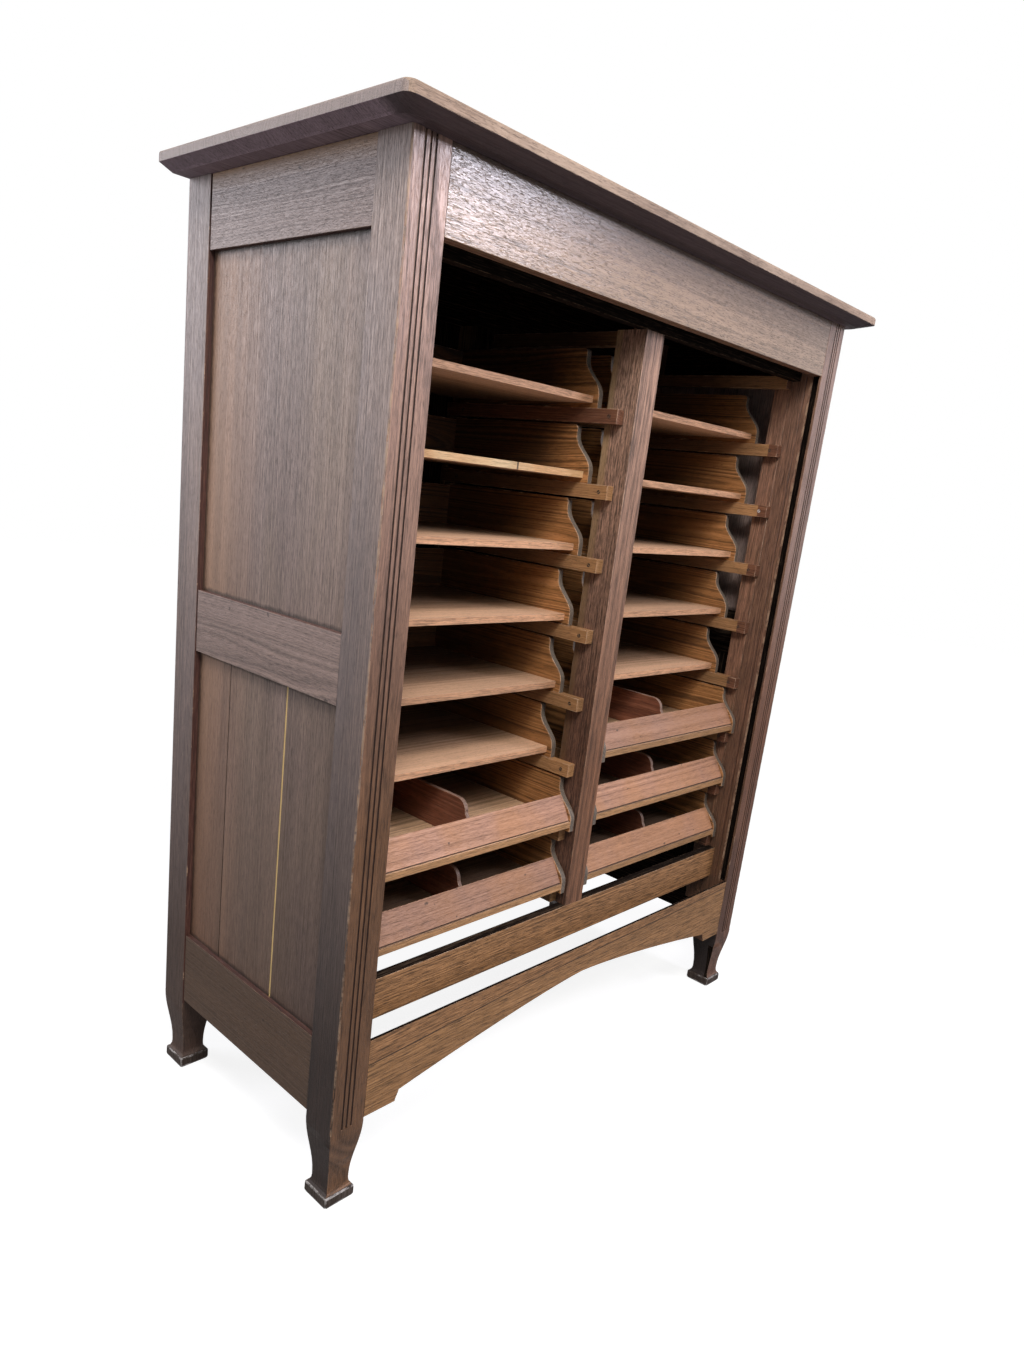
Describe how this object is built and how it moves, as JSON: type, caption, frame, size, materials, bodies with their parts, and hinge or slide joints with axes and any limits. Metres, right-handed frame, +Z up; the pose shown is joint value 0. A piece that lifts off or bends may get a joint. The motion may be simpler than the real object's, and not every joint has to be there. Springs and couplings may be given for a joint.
{
  "type": "notary cabinet",
  "caption": "Tall framed and panelled wooden cabinet with square tapered feet, two columns of sliding paper trays and drawers on runners, and grooves for a roller front.",
  "frame": {"origin": "on the floor under the middle of the cabinet's box", "axes": "+X to the right seen from the front, +Y towards the back, so that the front faces -Y, +Z up"},
  "size_m": [1.259, 0.545, 1.5],
  "materials": {
    "top_wood": "worn, greyed and dry",
    "case_wood": "old stain, rubbed and chipped at the edges",
    "panel_wood": "old stain, faded to grey brown",
    "back_wood": "bare and darkened with age",
    "runner_wood": "bare, rubbed by the trays",
    "tray_wood": "thin old varnish, light worn edges",
    "front_wood": "thin reddish stain with a light lower edge",
    "divider_wood": "thin reddish stain with light edges"
  },
  "bodies": {
    "case": {"top_board": "top_wood", "post_front_left": "case_wood", "post_front_right": "case_wood", "post_rear_left": "case_wood", "post_rear_right": "case_wood", "front_top_rail": "case_wood", "inner_head_rail": "case_wood", "lower_front_rail": "case_wood", "front_apron": "case_wood", "centre_post_front": "case_wood", "centre_post_rear": "back_wood", "back_top_rail": "back_wood", "back_bottom_rail": "back_wood", "left_top_rail": "case_wood", "left_middle_rail": "case_wood", "left_bottom_rail": "case_wood", "right_top_rail": "case_wood", "right_middle_rail": "case_wood", "right_bottom_rail": "case_wood", "left_upper_panel": "panel_wood", "left_lower_board_front": "panel_wood", "left_lower_board_middle": "panel_wood", "left_lower_board_rear": "panel_wood", "right_upper_panel": "panel_wood", "right_lower_board_front": "panel_wood", "right_lower_board_middle": "panel_wood", "right_lower_board_rear": "panel_wood", "back_panel_left": "back_wood", "back_panel_right": "back_wood", "left_wall_runners": "runner_wood", "left_centre_runners": "runner_wood", "right_centre_runners": "runner_wood", "right_wall_runners": "runner_wood"},
    "left_tray_1": {"left_tray_1": "tray_wood"},
    "left_tray_2": {"left_tray_2": "tray_wood"},
    "left_tray_3": {"left_tray_3": "tray_wood"},
    "left_tray_4": {"left_tray_4": "tray_wood"},
    "left_tray_5": {"left_tray_5": "tray_wood"},
    "left_tray_6": {"left_tray_6": "tray_wood"},
    "left_drawer_7": {"left_drawer_7": "tray_wood", "left_drawer_7_front": "front_wood", "left_drawer_7_divider": "divider_wood"},
    "left_drawer_8": {"left_drawer_8": "tray_wood", "left_drawer_8_front": "front_wood", "left_drawer_8_divider": "divider_wood"},
    "right_tray_1": {"right_tray_1": "tray_wood"},
    "right_tray_2": {"right_tray_2": "tray_wood"},
    "right_tray_3": {"right_tray_3": "tray_wood"},
    "right_tray_4": {"right_tray_4": "tray_wood"},
    "right_tray_5": {"right_tray_5": "tray_wood"},
    "right_drawer_6": {"right_drawer_6": "tray_wood", "right_drawer_6_front": "front_wood", "right_drawer_6_divider": "divider_wood"},
    "right_drawer_7": {"right_drawer_7": "tray_wood", "right_drawer_7_front": "front_wood", "right_drawer_7_divider": "divider_wood"},
    "right_drawer_8": {"right_drawer_8": "tray_wood", "right_drawer_8_front": "front_wood", "right_drawer_8_divider": "divider_wood"}
  },
  "joints": [
    {"name": "left_tray_1_slide", "type": "slide", "parent": "case", "child": "left_tray_1", "axis": [0, -1, 0], "range_m": [0, 0.25]},
    {"name": "left_tray_2_slide", "type": "slide", "parent": "case", "child": "left_tray_2", "axis": [0, -1, 0], "range_m": [0, 0.25]},
    {"name": "left_tray_3_slide", "type": "slide", "parent": "case", "child": "left_tray_3", "axis": [0, -1, 0], "range_m": [0, 0.25]},
    {"name": "left_tray_4_slide", "type": "slide", "parent": "case", "child": "left_tray_4", "axis": [0, -1, 0], "range_m": [0, 0.25]},
    {"name": "left_tray_5_slide", "type": "slide", "parent": "case", "child": "left_tray_5", "axis": [0, -1, 0], "range_m": [0, 0.25]},
    {"name": "left_tray_6_slide", "type": "slide", "parent": "case", "child": "left_tray_6", "axis": [0, -1, 0], "range_m": [0, 0.25]},
    {"name": "left_drawer_7_slide", "type": "slide", "parent": "case", "child": "left_drawer_7", "axis": [0, -1, 0], "range_m": [0, 0.25]},
    {"name": "left_drawer_8_slide", "type": "slide", "parent": "case", "child": "left_drawer_8", "axis": [0, -1, 0], "range_m": [0, 0.25]},
    {"name": "right_tray_1_slide", "type": "slide", "parent": "case", "child": "right_tray_1", "axis": [0, -1, 0], "range_m": [0, 0.25]},
    {"name": "right_tray_2_slide", "type": "slide", "parent": "case", "child": "right_tray_2", "axis": [0, -1, 0], "range_m": [0, 0.25]},
    {"name": "right_tray_3_slide", "type": "slide", "parent": "case", "child": "right_tray_3", "axis": [0, -1, 0], "range_m": [0, 0.25]},
    {"name": "right_tray_4_slide", "type": "slide", "parent": "case", "child": "right_tray_4", "axis": [0, -1, 0], "range_m": [0, 0.25]},
    {"name": "right_tray_5_slide", "type": "slide", "parent": "case", "child": "right_tray_5", "axis": [0, -1, 0], "range_m": [0, 0.25]},
    {"name": "right_drawer_6_slide", "type": "slide", "parent": "case", "child": "right_drawer_6", "axis": [0, -1, 0], "range_m": [0, 0.25]},
    {"name": "right_drawer_7_slide", "type": "slide", "parent": "case", "child": "right_drawer_7", "axis": [0, -1, 0], "range_m": [0, 0.25]},
    {"name": "right_drawer_8_slide", "type": "slide", "parent": "case", "child": "right_drawer_8", "axis": [0, -1, 0], "range_m": [0, 0.25]}
  ]
}
